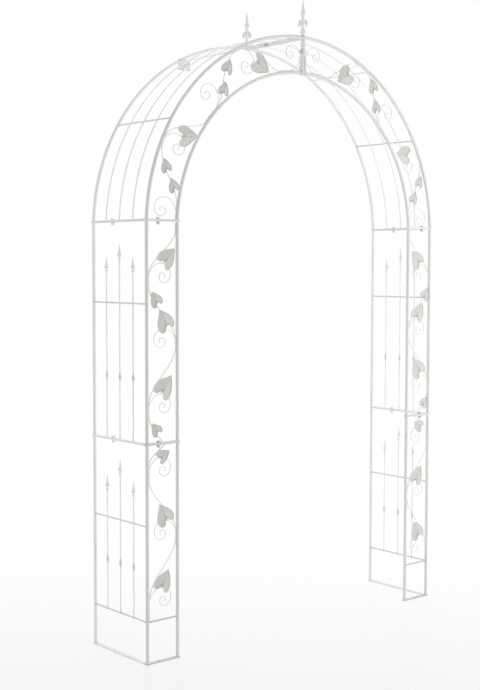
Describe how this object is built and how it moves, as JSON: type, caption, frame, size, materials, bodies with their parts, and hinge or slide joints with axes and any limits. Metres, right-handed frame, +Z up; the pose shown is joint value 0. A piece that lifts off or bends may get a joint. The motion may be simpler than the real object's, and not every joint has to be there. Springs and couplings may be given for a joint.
{
  "type": "garden arch",
  "caption": "White steel tube garden arch with a round top, spear-topped side grilles, and wire-and-leaf vines along its front.",
  "frame": {"origin": "on the ground, at the middle of the footprint", "axes": "+Z up; +Y through the arch, from the side with the vines to the back; +X across the way through"},
  "size_m": [1.41, 0.3486, 2.2872],
  "materials": {
    "white_paint": "satin white powder coat",
    "zinc_plate": "bright zinc plate",
    "bare_plate": "dull, plain, no marking"
  },
  "bodies": {
    "root": {"left_lower_back_post": "white_paint", "left_lower_front_outer_post": "white_paint", "left_lower_front_inner_post": "white_paint", "left_upper_back_post": "white_paint", "left_upper_front_outer_post": "white_paint", "left_upper_front_inner_post": "white_paint", "left_base_bar": "white_paint", "left_lower_joint_bar": "white_paint", "left_middle_joint_bar": "white_paint", "left_upper_joint_bar": "white_paint", "left_arch_foot_bar": "white_paint", "left_lower_grille": "white_paint", "left_upper_grille": "white_paint", "left_lower_vine": "white_paint", "left_upper_vine": "white_paint", "left_front_foot_bar": "white_paint", "left_back_arc": "white_paint", "left_front_outer_arc": "white_paint", "left_front_inner_arc": "white_paint", "left_arch_rods": "white_paint", "left_arch_vine": "white_paint", "left_apex_frame": "white_paint", "right_lower_back_post": "white_paint", "right_lower_front_outer_post": "white_paint", "right_lower_front_inner_post": "white_paint", "right_upper_back_post": "white_paint", "right_upper_front_outer_post": "white_paint", "right_upper_front_inner_post": "white_paint", "right_base_bar": "white_paint", "right_lower_joint_bar": "white_paint", "right_middle_joint_bar": "white_paint", "right_upper_joint_bar": "white_paint", "right_arch_foot_bar": "white_paint", "right_lower_grille": "white_paint", "right_upper_grille": "white_paint", "right_lower_vine": "white_paint", "right_upper_vine": "white_paint", "right_front_foot_bar": "white_paint", "right_back_arc": "white_paint", "right_front_outer_arc": "white_paint", "right_front_inner_arc": "white_paint", "right_arch_rods": "white_paint", "right_arch_vine": "white_paint", "right_apex_frame": "white_paint", "front_finial": "white_paint", "back_finial": "white_paint", "left_lower_side_bolt": "zinc_plate", "left_lower_front_bolt": "zinc_plate", "left_upper_side_bolt": "zinc_plate", "left_upper_front_bolt": "zinc_plate", "right_lower_side_bolt": "zinc_plate", "right_lower_front_bolt": "zinc_plate", "right_upper_side_bolt": "zinc_plate", "right_upper_front_bolt": "zinc_plate", "apex_front_bolt": "zinc_plate", "apex_ridge_bolt": "zinc_plate", "plate_rivet": "zinc_plate", "blank_plate": "bare_plate"}
  },
  "joints": []
}
